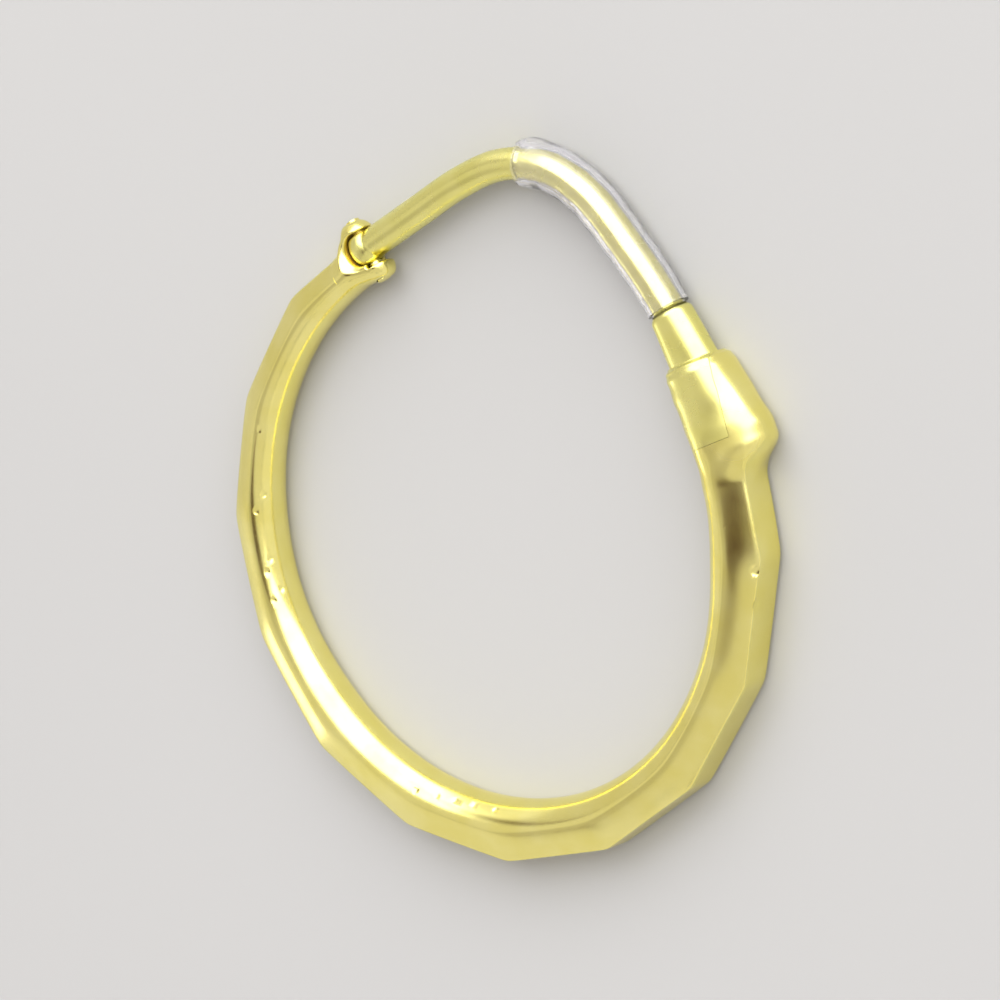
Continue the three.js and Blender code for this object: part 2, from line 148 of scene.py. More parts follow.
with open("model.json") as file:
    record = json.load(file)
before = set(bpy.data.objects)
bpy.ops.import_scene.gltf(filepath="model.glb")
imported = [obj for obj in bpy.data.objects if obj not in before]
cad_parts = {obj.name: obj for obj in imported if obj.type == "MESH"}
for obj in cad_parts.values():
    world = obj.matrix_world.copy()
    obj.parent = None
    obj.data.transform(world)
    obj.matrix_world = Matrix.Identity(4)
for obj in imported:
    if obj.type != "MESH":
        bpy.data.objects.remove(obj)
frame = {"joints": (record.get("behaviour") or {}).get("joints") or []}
cad_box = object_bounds()
hinge = frame["joints"][0]
# The hinge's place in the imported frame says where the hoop's own frame lies in it.
HOOP_ORIGIN = Vector(hinge["pos_m"]) - Vector((*WIRE_POINTS[0], 0)) * MM


# ------------------------------------------------------------------ small tools

def eased(share):
    """A share between 0 and 1 that starts and ends gently."""
    share = np.clip(share, 0, 1)
    return share * share * (3 - 2 * share)


def sized(rows, at, column):
    """A table's value at an angle or an array of them, eased from row to row."""
    below = np.clip(np.searchsorted(rows["at"], at) - 1, 0, len(rows["at"]) - 2)
    start, end = rows["at"][below], rows["at"][below + 1]
    share = eased((at - start) / (end - start))
    return rows[column][below] * (1 - share) + rows[column][below + 1] * share


def cos_sin(angle):
    return np.cos(np.radians(angle)), np.sin(np.radians(angle))


def hoop_points(at, out, height):
    """Points by their angle round the hoop, distance outside the hoop's circle and height."""
    cos, sin = cos_sin(at)
    r = HOOP_RADIUS + out
    return np.stack(np.broadcast_arrays(r * cos, r * sin, height), -1)


def crossing(rising, low, high):
    """The value between low and high where a rising function crosses zero."""
    halvings = 30
    for _ in range(halvings):
        middle = (low + high) / 2
        if rising(middle) < 0:
            low = middle
        else:
            high = middle
    return (low + high) / 2


def crowded(start, end, count):
    """Steps from start to end, closer together near both ends."""
    return start + (end - start) * (1 - np.cos(np.linspace(0, math.pi, count + 1))) / 2


# ------------------------------------------------------------------ the faceted tube's section

def ellipse_reach(at, angle):
    """From the tube's middle to its surface before the facets are cut."""
    cos, sin = cos_sin(angle)
    return 1 / np.hypot(cos / sized(TUBE, at, "across"), sin / sized(TUBE, at, "axial"))


def tube_point(at, angle):
    cos, sin = cos_sin(angle)
    return hoop_points(at, sized(TUBE, at, "across") * cos, sized(TUBE, at, "axial") * sin)


def plane_through(a, b, c, inside):
    """A plane's normal, away from the inside, and its distance from the hoop's middle."""
    normal = np.cross(b - a, c - a)
    normal /= np.linalg.norm(normal)
    if normal @ (a - inside) < 0:
        normal = -normal
    return normal, normal @ a


def station_planes(start):
    """The outer and the front flat of one station of facets."""
    end = start + FACET_PITCH
    ridge = tube_point(start, RIDGE), tube_point(end, RIDGE)
    edge = tube_point((start + end) / 2, FACET_EDGE)
    foot = ridge[0] * (1, 1, -1)
    inside = hoop_points((start + end) / 2, 0, 0)
    return plane_through(ridge[0], foot, ridge[1], inside), plane_through(*ridge, edge, inside)


CORNERS = np.arange(FIRST_CORNER, LAST_CORNER, FACET_PITCH)
PLANES = [station_planes(start) for start in CORNERS]


def station_index(at):
    return int(np.clip(np.searchsorted(CORNERS, at) - 1, 0, len(CORNERS) - 1))


def plane_reach(plane, at, angle):
    """From the tube's middle to a flat's plane."""
    normal, distance = plane
    middle = hoop_points(at, 0, 0)
    way = hoop_points(at, *cos_sin(angle)) - middle
    slope = way @ normal
    return np.where(slope > TINY, (distance - middle @ normal) / np.maximum(slope, TINY), FAR)


def crown(station, at, angle):
    """How far polishing left a front flat above its plane: most in its middle, none at its corners."""
    along = (at - CORNERS[station]) / FACET_PITCH * 2 - 1
    across = (angle - (RIDGE + FACET_EDGE) / 2) / ((FACET_EDGE - RIDGE) / 2)
    return CROWN["along"] * (1 - along ** 2) + CROWN["across"] * np.maximum(1 - across ** 2, -1)


def tube_reach(at, angle):
    """From the tube's middle to its faceted surface, with the ridges a little rounded."""
    mirrored = np.abs((angle + 180) % 360 - 180)
    k = station_index(at)
    reaches = [ellipse_reach(at, mirrored)]
    for station in range(max(k - 1, 0), min(k + 2, len(PLANES))):
        outer, front = PLANES[station]
        reaches.append(plane_reach(outer, at, mirrored))
        reaches.append(plane_reach(front, at, mirrored) + crown(station, at, mirrored))
    least = np.min(reaches, 0)
    return least - RIDGE_ROUNDING * np.log(np.exp((least - reaches) / RIDGE_ROUNDING).sum(0))


def ridge_angle(at):
    """The section angle of the ridge, which runs straight from corner to corner."""
    k = station_index(at)
    start, end = (tube_point(a, RIDGE) for a in (CORNERS[k], CORNERS[k] + FACET_PITCH))
    cos, sin = cos_sin(at)
    beside = np.array((-sin, cos, 0))
    point = start + (end - start) * (start @ beside) / ((start - end) @ beside)
    return math.degrees(math.atan2(point[2], math.hypot(point[0], point[1]) - HOOP_RADIUS))


def facet_edge_angle(at):
    """The section angle where the front flat runs out on the round inner side."""
    front = PLANES[station_index(at)][1]
    return crossing(
        lambda angle: plane_reach(front, at, angle) - ellipse_reach(at, angle), *FACET_EDGE_BOUNDS)


# ------------------------------------------------------------------ the whole hoop's outer form

pin_angle = math.degrees(math.atan2(WIRE_POINTS[0][1], WIRE_POINTS[0][0]))
lug_reach = math.degrees(LUG_RADIUS / HOOP_RADIUS)


def end_reach(at, angle):
    """From the middle to the surface of the fork, rounded off past the pin, or of the catch socket."""
    beyond = np.clip((pin_angle - at) / lug_reach, 0, LUG_TIP)
    across = sized(ENDS, at, "across") * (1 - beyond ** 4) ** 0.25
    axial = sized(ENDS, at, "axial") * (1 - beyond ** 2) ** 0.5
    power = sized(ENDS, at, "power")
    cos, sin = np.abs(cos_sin(angle))
    return ((cos / across) ** power + (sin / axial) ** power) ** (-1 / power)


def rise(swelling, at, angle):
    """How far a rounded swelling, or with a negative height a hollow, lifts the surface."""
    reach_along = swelling["before" if at < swelling["at"] else "after"]
    along = math.radians(at - swelling["at"]) * HOOP_RADIUS / reach_along
    around = ((angle - swelling["angle"] + 180) % 360 - 180) / swelling["spread"]
    return swelling["height"] * np.exp(-along ** 2 - around ** 2)


def reach(at, angle):
    """From the tube's middle to the hoop's surface, at any place."""
    blend = sized(ENDS, at, "blend")
    tube = tube_reach(at, angle) if blend < 1 else 0
    end = end_reach(at, angle) if blend > 0 else 0
    return tube * (1 - blend) + end * blend + rise(BUMP, at, angle) + rise(NICK, at, angle)


def hoop_ring(at):
    """The points of one section, with its lower side cut level."""
    ridge, edge = ridge_angle(at), facet_edge_angle(at)

    def below(angle):
        return float(-reach(at, np.array(angle)) * math.sin(math.radians(angle)) - UNDERSIDE)

    def above(angle):
        return -below(angle)

    lies = below(270) > 0
    inner = crossing(below, *UNDER_INNER["bounds"]) if lies else UNDER_INNER["uncut"]
    outer = crossing(above, *UNDER_OUTER["bounds"]) if lies else UNDER_OUTER["uncut"]
    edges = [-ridge, ridge, edge, inner, outer, 360 - ridge]
    stretches = zip(edges, edges[1:], RING_STEPS.values())
    angle = np.concatenate([crowded(*stretch)[:-1] for stretch in stretches])
    r = reach(at, angle)
    cos, sin = cos_sin(angle)
    outward = r * cos
    slanted = at - sized(ENDS, at, "slant") * outward
    return hoop_points(slanted, sized(ENDS, at, "out") + outward, np.maximum(r * sin, -UNDERSIDE))


# ------------------------------------------------------------------ meshes

def mesh_object(name, points, faces):
    """A mesh in the scene, with its faces turned outward."""
    mesh = bpy.data.meshes.new(name)
    mesh.from_pydata(np.asarray(points, float).tolist(), [], faces)
    made = bpy.data.objects.new(name, mesh)
    bpy.context.scene.collection.objects.link(made)
    editable = bmesh.new()
    editable.from_mesh(mesh)
    bmesh.ops.recalc_face_normals(editable, faces=editable.faces)
    editable.to_mesh(mesh)
    editable.free()
    return made


def loft(name, rings):
    """A closed skin over rings that have equal numbers of points."""
    rings = np.asarray(rings)
    count, sides = rings.shape[:2]
    points = np.concatenate([rings.reshape(-1, 3), [rings[0].mean(0), rings[-1].mean(0)]])
    faces = []
    for ring in range(count - 1):
        for side in range(sides):
            a, b = ring * sides + side, ring * sides + (side + 1) % sides
            faces.append((a, b, b + sides, a + sides))
    for start, centre in ((0, count * sides), ((count - 1) * sides, count * sides + 1)):
        faces += [(start + side, start + (side + 1) % sides, centre) for side in range(sides)]
    return mesh_object(name, points, faces)


def apply_modifiers(piece):
    bpy.context.view_layer.update()
    made = bpy.data.meshes.new_from_object(piece.evaluated_get(bpy.context.evaluated_depsgraph_get()))
    piece.modifiers.clear()
    piece.data = made
    made.name = piece.name


def combine(piece, tool, operation):
    """Cuts the tool out of the piece, joins it on, or keeps only what both hold. The tool is used up."""
    modifier = piece.modifiers.new(operation.lower(), "BOOLEAN")
    modifier.operation = operation
    modifier.object = tool
    modifier.solver = "MANIFOLD"
    apply_modifiers(piece)
    bpy.data.objects.remove(tool)
    return piece


def copy_of(piece, name):
    made = piece.copy()
    made.data = piece.data.copy()
    made.name = name
    bpy.context.scene.collection.objects.link(made)
    return made


def relax_edges(piece, voxel, passes):
    """Rounds all of a piece's edges: it gets a fine, even mesh, which is then relaxed."""
    even = piece.modifiers.new("even", "REMESH")
    even.mode = "VOXEL"
    even.voxel_size = voxel
    relax = piece.modifiers.new("relax", "SMOOTH")
    relax.factor = 0.5
    relax.iterations = passes
    apply_modifiers(piece)


def soften(piece, zone, voxel, passes):
    """Rounds the edges inside a zone, whose solid zone(margin) makes, and joins the result on again."""
    part = combine(copy_of(piece, "part"), zone(SOFTENED_MARGIN), "INTERSECT")
    relax_edges(part, voxel, passes)
    combine(part, zone(0), "INTERSECT")
    combine(piece, zone(-SOFTENED_OVERLAP), "DIFFERENCE")
    combine(piece, part, "UNION")


def finish_mesh(piece, sharp_from):
    """Takes a piece from millimetres in the hoop's frame to its place in metres, with smooth shading."""
    piece.data.transform(Matrix.Translation(HOOP_ORIGIN) @ Matrix.Scale(MM, 4))
    piece.data.shade_smooth()
    piece.data.set_sharp_from_angle(angle=math.radians(sharp_from))


# ------------------------------------------------------------------ cutters along the hoop

def bent_bar(name, start, end, size_at, count):
    """A bar along the hoop; size_at gives its middle, its half-width and its low and high side."""
    rings = []
    for at in np.linspace(start, end, count + 1):
        middle, half, low, high = size_at(at)
        u = np.array([middle + half, middle + half, middle - half, middle - half])
        rings.append(hoop_points(at, u, np.array([low, high, high, low])))
    return loft(name, rings)


def channel_bar(side_gap, end_gap, floor_gap):
    """The catch's channel, or with gaps taken off it what the wire's head keeps of the hoop's form."""
    start = CHANNEL["from"] + math.degrees(end_gap / HOOP_RADIUS)

    def size_at(at):
        share = (at - CHANNEL["from"]) / (MOUTH - CHANNEL["from"])
        half = CHANNEL["end_half_width"] + (CHANNEL["half_width"] - CHANNEL["end_half_width"]) * share
        return sized(ENDS, at, "out"), half - side_gap, CHANNEL["floor"] + floor_gap, CLEAR

    return bent_bar("channel", start, MOUTH + CLEAR, size_at, count=24)


def bore():
    """The hollow of the tube, from the fork's slot to the catch's channel."""
    facet_depth = HOOP_RADIUS * (1 - cos_sin(FACET_PITCH / 2)[0])
    cos, sin = cos_sin(np.linspace(0, 360, BORE["sides"], endpoint=False))
    rings = []
    for at in np.linspace(BORE["from"], BORE["to"], BORE["rings"]):
        across, out = sized(TUBE, at, "across"), sized(ENDS, at, "out")
        outside = out + cos_sin(RIDGE)[0] * across - facet_depth - OUTER_WALL
        inside = out + WALL - across
        axial = sized(TUBE, at, "axial") - WALL - BORE["flatten"]
        rings.append(hoop_points(at, (outside + inside) / 2 + (outside - inside) / 2 * cos, axial * sin))
    return loft("bore", rings)


# ------------------------------------------------------------------ the hinge's own frame

heading_cos, heading_sin = cos_sin(HINGE_HEADING)
HINGE_X = np.array((heading_cos, heading_sin, 0))
HINGE_Y = np.array((-heading_sin, heading_cos, 0))
HINGE_ORIGIN = np.array((*WIRE_POINTS[0], 0))


def turned(name, profile, sides=64):
    """A turned solid on the pin's axis; the profile's points are radius and distance outward."""
    rings = []
    for radius, out in profile:
        cos, sin = cos_sin(np.linspace(0, 360, sides, endpoint=False))
        around = np.outer(cos, HINGE_X) + np.outer(sin, (0, 0, 1))
        rings.append(HINGE_ORIGIN + max(radius, AXIS_RADIUS) * around + out * HINGE_Y)
    return loft(name, rings)


def ball(name, centre, radius, sides=64):
    """A ball, for a scoop with a round bottom."""
    rings = []
    last_latitude = 88
    for latitude in np.linspace(-last_latitude, last_latitude, sides // 2):
        level, up = cos_sin(latitude)
        cos, sin = cos_sin(np.linspace(0, 360, sides, endpoint=False))
        rings.append(centre + radius * np.stack([level * cos, level * sin, up + 0 * cos], -1))
    return loft(name, rings)


def barrel(inner, outer, gap):
    """The barrel of the wire's eye as a lathe profile, or with a gap the pocket that it turns in."""
    out = np.linspace(-inner, outer, 20)
    swelling = np.minimum(np.abs(out), EYE["inner"]) / EYE["swell"]
    return [(0, -inner), *zip(EYE["radius"] * np.sqrt(1 - swelling ** 2) + gap, out), (0, outer)]


def hinge_box(along, across, height):
    """A box from its lowest and highest places along the wire, across it and upward."""
    (left, right), (low, high) = across, height
    corners = [(left, low), (right, low), (right, high), (left, high)]
    rings = [[HINGE_ORIGIN + x * HINGE_X + y * HINGE_Y + (0, 0, z) for y, z in corners] for x in along]
    return loft("hinge_box", rings)


def standing_wire():
    """The space in front of the pin that the wire takes up when it stands square to the hoop."""
    cos, sin = cos_sin(np.linspace(0, 360, 72, endpoint=False))
    circle = HINGE_ORIGIN + SLOT["front"] * np.stack([cos, sin, 0 * cos], -1)
    return loft("standing_wire", [circle, circle + (0, 0, CLEAR)])


# ------------------------------------------------------------------ the wire's line

def catmull_rom(points, steps_each):
    """Points on a centripetal Catmull-Rom curve, as three.js draws it."""
    p = [np.array((*xy, 0.0)) for xy in points]
    p = [2 * p[0] - p[1]] + p + [2 * p[-1] - p[-2]]
    line = []
    for p0, p1, p2, p3 in zip(p, p[1:], p[2:], p[3:]):
        t0 = 0
        t1 = t0 + np.linalg.norm(p1 - p0) ** 0.5
        t2 = t1 + np.linalg.norm(p2 - p1) ** 0.5
        t3 = t2 + np.linalg.norm(p3 - p2) ** 0.5
        for t in np.linspace(t1, t2, steps_each, endpoint=False):
            a1 = (t1 - t) / (t1 - t0) * p0 + (t - t0) / (t1 - t0) * p1
            a2 = (t2 - t) / (t2 - t1) * p1 + (t - t1) / (t2 - t1) * p2
            a3 = (t3 - t) / (t3 - t2) * p2 + (t - t2) / (t3 - t2) * p3
            b1 = (t2 - t) / (t2 - t0) * a1 + (t - t0) / (t2 - t0) * a2
            b2 = (t3 - t) / (t3 - t1) * a2 + (t - t1) / (t3 - t1) * a3
            line.append((t2 - t) / (t2 - t1) * b1 + (t - t1) / (t2 - t1) * b2)
    return np.array(line + [p[-2]])


WIRE_LINE = catmull_rom(WIRE_POINTS, 60)
LINE_LENGTHS = np.concatenate([[0], np.cumsum(np.linalg.norm(np.diff(WIRE_LINE, axis=0), axis=1))])
TANGENT_STEP = 0.05  # to both sides, for the line's direction
NECK_STRETCH = 3  # the last of the wire, in which the neck's end is found


def on_wire(along):
    """The place on the wire's middle line, by the length along it from the pin."""
    return np.array([np.interp(along, LINE_LENGTHS, WIRE_LINE[:, i]) for i in range(3)])


def wire_ring(along, in_plane, axial, sides=64):
    """An elliptic ring square to the wire."""
    way = on_wire(along + TANGENT_STEP) - on_wire(along - TANGENT_STEP)
    way /= np.linalg.norm(way)
    side = np.array((-way[1], way[0], 0))
    cos, sin = cos_sin(np.linspace(0, 360, sides, endpoint=False))
    return on_wire(along) + in_plane * np.outer(cos, side) + axial * np.outer(sin, (0, 0, 1))


def past_neck(along):
    """How far a place on the wire is past the neck's end, in degrees round the hoop."""
    x, y, _ = on_wire(along)
    return MOUTH - NECK["inside"] - 360 - math.degrees(math.atan2(y, x))


mouth_along = crossing(past_neck, LINE_LENGTHS[-1] - NECK_STRETCH, LINE_LENGTHS[-1])
neck_start = mouth_along - NECK["length"]


# ------------------------------------------------------------------ the pieces

def make_form():
    """The hoop's whole outer form, before anything is cut."""
    fork_end, socket_start, collar = FORM_STRETCHES.values()
    quarter = np.linspace(0, math.pi / 2, FORM_STEPS["lug_tips"], endpoint=False)
    angles = [
        pin_angle - lug_reach * np.cos(quarter),
        np.linspace(pin_angle, fork_end, FORM_STEPS["fork"], endpoint=False),
    ]
    for start in CORNERS:
        station = crowded(start, start + FACET_PITCH, FORM_STEPS["station"])[:-1]
        angles.append(station[(station > fork_end) & (station < socket_start)])
    angles.append(np.linspace(socket_start, collar, FORM_STEPS["socket"], endpoint=False))
    angles.append(np.linspace(collar, MOUTH, FORM_STEPS["mouth"]))
    return loft("form", [hoop_ring(at) for at in np.concatenate(angles)])


def fork_zone(margin):
    """Everything near the fork's stretch of the hoop."""
    root = FORK["root"] + math.degrees(margin / HOOP_RADIUS)
    return bent_bar("fork_zone", FORK["tip"], root, lambda at: (0, CLEAR, -CLEAR, CLEAR), count=12)


def eye_zone(margin):
    """Everything near the wire's eye."""
    return hinge_box((-CLEAR, EYE_ROOT + margin), (-CLEAR, CLEAR), (-CLEAR, CLEAR))


# Small tool marks, most of them along the front flats' inner edge: the angle round the hoop, the section
# angle, the tool's radius and the depth.
NICKS = [
    (176, 116, 0.4, 0.014),
    (189.5, 138, 0.28, 0.022),
    (193, 120, 0.34, 0.018),
    (203, 138, 0.34, 0.016),
    (205.5, 126, 0.3, 0.018),
    (209.5, 146, 0.36, 0.016),
    (211.5, 124, 0.34, 0.016),
    (263, 124, 0.34, 0.02),
    (268, 132, 0.4, 0.016),
    (272.5, 138, 0.34, 0.02),
    (277.5, 140, 0.42, 0.014),
    (283, 140, 0.34, 0.018),
    (366.5, 24, 0.4, 0.02),
    (372.5, 46, 0.5, 0.014),
]


def scoop(at, angle, radius, depth):
    """A ball that cuts a small round mark into the tube."""
    cos, sin = cos_sin(angle)
    away = float(reach(at, np.array(angle))) + radius - depth
    centre = hoop_points(at, float(sized(ENDS, at, "out")) + away * cos, away * sin)
    return ball("scoop", centre, radius, sides=40)


def make_hoop(form):
    """The hoop with its fork and its catch socket."""
    hoop = copy_of(form, "polished_hoop")
    for cutter in (
        turned("pocket", barrel(SLOT["inner"], SLOT["outer"], SLOT["gap"])),
        hinge_box((0, CLEAR), (-SLOT["inner"], SLOT["outer"]), (-CLEAR, CLEAR)),
        standing_wire(),
        ball("dish", HINGE_ORIGIN + (0, 0, DISH["height"]), DISH["radius"], sides=96),
    ):
        combine(hoop, cutter, "DIFFERENCE")
    soften(hoop, fork_zone, **FORK_SOFTENING)
    for at, angle, radius, depth in NICKS:
        combine(hoop, scoop(at, angle, radius, depth), "DIFFERENCE")
    combine(hoop, channel_bar(0, 0, 0), "DIFFERENCE")
    combine(hoop, bore(), "DIFFERENCE")
    hole = PIN_RADIUS + PIN_CLEARANCE
    pin_hole = turned("pin_hole", [(0, -CLEAR), (hole, -CLEAR), (hole, CLEAR), (0, CLEAR)])
    return combine(hoop, pin_hole, "DIFFERENCE")


WIRE_STEPS = {"tip": 16, "round": 110, "shoulder": 14, "neck": 16}
WIRE_TIP = 0.999  # the share of the end's rounding that is drawn, just short of its very tip


def wire_section(along):
    """The wire's half-widths in the hoop's plane and across it: round, then the swelling neck."""
    grown = eased((along - neck_start) / NECK["shoulder"]) ** 0.5
    swell = np.clip((along - neck_start) / NECK["length"], 0, 1)
    in_plane = NECK["start"] + (NECK["end"] - NECK["start"]) * swell
    rounding = math.sqrt(1 - np.clip(1 - along / EYE_ROUNDING, 0, WIRE_TIP) ** 2)
    neck = in_plane, NECK["axial"]
    return tuple((WIRE_RADIUS + (full - WIRE_RADIUS) * grown) * rounding for full in neck)


def make_wire(form):
    """The ear wire with its eye, its neck and the head that closes into the catch."""
    shoulder_end = neck_start + NECK["shoulder"]
    places = np.concatenate([
        EYE_ROUNDING * np.linspace(0, 1, WIRE_STEPS["tip"], endpoint=False) ** 2,
        np.linspace(EYE_ROUNDING, neck_start, WIRE_STEPS["round"], endpoint=False),
        np.linspace(neck_start, shoulder_end, WIRE_STEPS["shoulder"], endpoint=False),
        np.linspace(shoulder_end, mouth_along, WIRE_STEPS["neck"]),
    ])
    wire = loft("polished_wire", [wire_ring(along, *wire_section(along)) for along in places])
    combine(wire, turned("eye", barrel(EYE["inner"], EYE["outer"], 0)), "UNION")
    soften(wire, eye_zone, **EYE_SOFTENING)
    head = copy_of(form, "head")
    combine(head, channel_bar(HEAD["side_gap"], HEAD["end_gap"], HEAD["floor_gap"]), "INTERSECT")
    combine(wire, head, "UNION")
    past = 1  # more than the eye is wide
    hole = [(0, -past), (EYE["bore"], -past), (EYE["bore"], past), (0, past)]
    return combine(wire, turned("eye_hole", hole), "DIFFERENCE")


def lug_face(side):
    """Where the fork's outer (1) or inner (-1) side is on the pin's axis."""
    out = sized(ENDS, pin_angle, "out") - (np.linalg.norm(HINGE_ORIGIN) - HOOP_RADIUS)
    return float(side * sized(ENDS, pin_angle, "across") + out)


def make_pin():
    """The rivet, with a low dome on both ends."""
    low = [(PIN_RADIUS * radius, lug_face(-1) - PIN_DOME * height) for radius, height in reversed(DOME)]
    high = [(PIN_RADIUS * radius, lug_face(1) + PIN_DOME * height) for radius, height in DOME]
    return turned("polished_pin", low + high, sides=40)


# The soft sleeve by shares of its length: a flared lip, then a taper to the neck. Lift is how far it sits
# outside the wire's middle.
SLEEVE_SHAPE = table("at wide lift", [
    (0, 0.62, 0),
    (0.015, 0.72, 0.02),
    (0.05, 0.765, 0.03),
    (0.13, 0.715, 0.02),
    (0.45, 0.7, 0.025),
    (0.8, 0.67, 0.03),
    (1, 0.65, 0.02),
])
SLEEVE_LIP = 0.15  # the lip's share of the length, where the rings are closer together
SLEEVE_RIPPLE = {"height": 0.008, "pace": 7}
SLEEVE_STEPS = {"lip": 24, "tube": 60, "bore": 62}


def make_sleeve():
    """The clear tube on the wire's arch, up to the neck."""
    start, end = SLEEVE["start"], neck_start - SLEEVE["gap"]

    def outside(share):
        along = start + (end - start) * share
        ripple = SLEEVE_RIPPLE["height"] * math.sin(SLEEVE_RIPPLE["pace"] * along)
        wide = sized(SLEEVE_SHAPE, share, "wide") + ripple
        tall = min(wide, SLEEVE["radius"])
        ring = wire_ring(along, wide, tall)
        away = on_wire(along) / np.linalg.norm(on_wire(along))
        return ring + sized(SLEEVE_SHAPE, share, "lift") * away

    lip = np.linspace(0, SLEEVE_LIP, SLEEVE_STEPS["lip"], endpoint=False)
    shares = np.concatenate([lip, np.linspace(SLEEVE_LIP, 1, SLEEVE_STEPS["tube"])])
    sleeve = loft("soft_sleeve", [outside(share) for share in shares])
    past = 0.1  # the bore's cutter runs out of both ends
    bored = np.linspace(start - past, end + past, SLEEVE_STEPS["bore"])
    inside = loft("inside", [wire_ring(along, SLEEVE["bore"], SLEEVE["bore"]) for along in bored])
    return combine(sleeve, inside, "DIFFERENCE")


# ------------------------------------------------------------------ materials

def fill(tree, shader, inputs):
    """Sets a node's inputs to constants, or links them to other nodes' outputs."""
    for name, value in dict(inputs).items():
        if isinstance(value, bpy.types.NodeSocket):
            tree.links.new(value, shader.inputs[name])
        else:
            shader.inputs[name].default_value = value


def node(tree, kind, inputs=(), **settings):
    """A shader node with its settings, and with its inputs set or linked."""
    made = tree.nodes.new("ShaderNode" + kind)
    for name, value in settings.items():
        setattr(made, name, value)
    fill(tree, made, inputs)
    return made


def new_material(name):
    """A material, its node tree, its shader, and its object coordinates in millimetres."""
    material = bpy.data.materials.new(name)
    material.use_nodes = True
    tree = material.node_tree
    coordinates = node(tree, "TexCoord").outputs["Object"]
    scaled = node(tree, "VectorMath", {0: coordinates, "Scale": 1 / MM}, operation="SCALE")
    return material, tree, tree.nodes["Principled BSDF"], scaled.outputs["Vector"]


def noise(tree, place, scale, detail):
    """Soft noise, with its scale to a millimetre."""
    return node(tree, "TexNoise", {"Vector": place, "Scale": scale, "Detail": detail}).outputs["Fac"]


def mapped(tree, value, low, high, start, end):
    """A value's stretch from low to high, turned into start to end."""
    inputs = {"Value": value, "From Min": low, "From Max": high, "To Min": start, "To Max": end}
    return node(tree, "MapRange", inputs, clamp=True).outputs["Result"]


def mixed(tree, factor, first, second):
    """A colour mixed between two colours, through the Mix node's sockets for colours."""
    factor_socket, first_socket, second_socket, result_socket = 0, 6, 7, 2
    inputs = {factor_socket: factor, first_socket: first, second_socket: second}
    return node(tree, "Mix", inputs, data_type="RGBA").outputs[result_socket]


def total(tree, first, second, weight):
    """The first value plus the second one times a weight."""
    inputs = {0: second, 1: weight, 2: first}
    return node(tree, "Math", inputs, operation="MULTIPLY_ADD").outputs["Value"]


HOOP_GOLD = (0.89, 0.8, 0.24, 1), (0.93, 0.85, 0.31, 1)
WIRE_GOLD = (0.83, 0.78, 0.24, 1), (0.88, 0.83, 0.3, 1)
HOOP_ROUGHNESS = (0.18, 0.22)
PIN_ROUGHNESS = (0.2, 0.26)
WIRE_ROUGHNESS = (0.25, 0.3)
# A brown tint for dirt and painted shade in the pocket round the wire's eye.
TARNISH_AND_SHADE = (0.8, 0.6, 0.28, 1)

# Where the metal differs, and how much duller it is there: the pocket round the wire's eye is tinted brown
# for dirt and painted shade, and the socket was soldered on. The change fades out between the near and the
# far distance from the centre.
POCKET = {"centre": np.array(hinge["pos_m"]) / MM, "near": 0.56, "far": 0.72}
POCKET_DULLNESS = 0.25
SOLDER = {"centre": np.array(HOOP_ORIGIN) / MM + hoop_points(395.5, 1.0, 0.8), "near": 0.15, "far": 1.0}
SOLDER_DULLNESS = 0.25

# The gold's tone, gloss and relief. Weights are against the pits, and spans are the stretches of a noise's
# values that are used.
GOLD_CLOUDS = {"scale": 0.8, "detail": 4}
GOLD_POLISH = {"scale": 1.1, "detail": 5}
GOLD_WAVES = {"scale": 2.5, "detail": 3}
WAVES_WEIGHT = 0.12
HAIRLINE_STRETCH = (0.5, 26, 9)
HAIRLINE_TILTS = (25, -55)
HAIRLINE_WEIGHT = 0.2
PITS = {"scale": 1.4, "floor": 0.02, "rim": 0.065}
GOLD_RELIEF = {"Strength": 0.35, "Distance": 0.003 * MM}
TONE_SPAN = (0.35, 0.65)
GLOSS_SPAN = (0.3, 0.7)

VINYL_TONES = (0.93, 0.925, 0.985, 1), (0.985, 0.98, 1, 1)
VINYL_CLOUDS = {"scale": 1.6, "detail": 4}
VINYL_SCUFFS = {"scale": 4, "detail": 4}
VINYL_ROUGHNESS = (0.04, 0.13)
VINYL_RELIEF = {"Strength": 0.4, "Distance": 0.02 * MM}
VINYL = {"Transmission Weight": 0.97, "IOR": 1.45, "Coat Weight": 0.3, "Coat Roughness": 0.1}


def hairlines(tree, place, tilt):
    """Fine parallel polishing marks, turned about the hoop's axis by a tilt."""
    turn = {"Vector": place, "Rotation": (0, 0, math.radians(tilt)), "Scale": HAIRLINE_STRETCH}
    return noise(tree, node(tree, "Mapping", turn).outputs["Vector"], scale=1, detail=3)


def near_place(tree, place, centre, near, far):
    """1 within the near distance of a centre, and 0 beyond the far one."""
    away = node(tree, "VectorMath", {0: place, 1: centre}, operation="DISTANCE").outputs["Value"]
    return mapped(tree, away, near, far, 1, 0)


